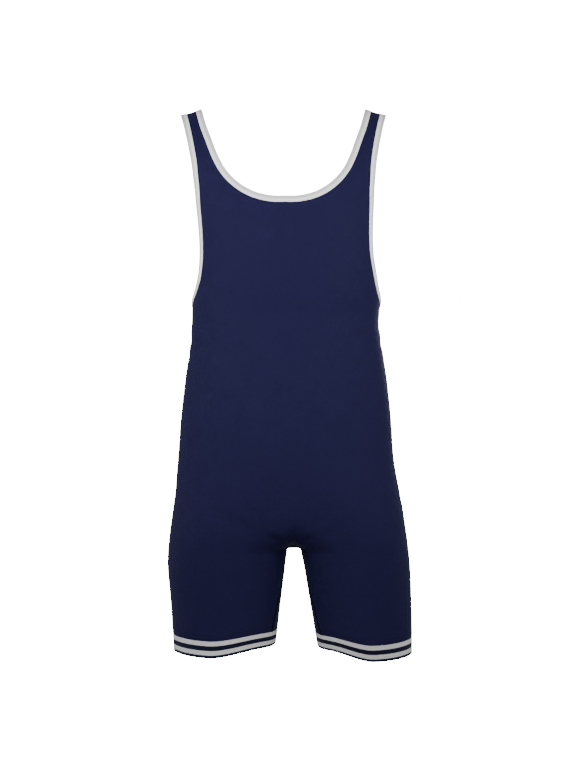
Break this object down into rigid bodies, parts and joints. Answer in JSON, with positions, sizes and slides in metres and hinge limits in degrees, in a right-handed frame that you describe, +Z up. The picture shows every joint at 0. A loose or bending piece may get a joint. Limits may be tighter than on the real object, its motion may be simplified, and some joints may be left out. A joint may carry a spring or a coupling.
{
  "type": "athletic singlet",
  "caption": "Sleeveless one-piece athletic singlet with thigh-length legs, wide straps, a scooped neck, folded bindings and striped elastic leg bands, filled out and hollow.",
  "frame": {"origin": "midway between the two strap tops, where the wearer's shoulders carry the garment", "axes": "+Z up along the body, -Y towards the wearer's front, +X towards the viewer's right seen from the front"},
  "size_m": [0.3783, 0.2379, 0.844],
  "materials": {
    "navy_knit": "smooth stretch knit with a soft sheen",
    "white_binding": "matt folded knit tape",
    "striped_elastic": "matt woven elastic, white and navy stripes"
  },
  "bodies": {
    "root": {"front_top": "navy_knit", "front_body": "navy_knit", "front_leg_left": "navy_knit", "front_leg_right": "navy_knit", "back_top": "navy_knit", "back_body": "navy_knit", "back_leg_left": "navy_knit", "back_leg_right": "navy_knit", "neck_binding": "white_binding", "armhole_binding_left": "white_binding", "armhole_binding_right": "white_binding", "leg_band_left": "striped_elastic", "leg_band_right": "striped_elastic"}
  },
  "joints": []
}
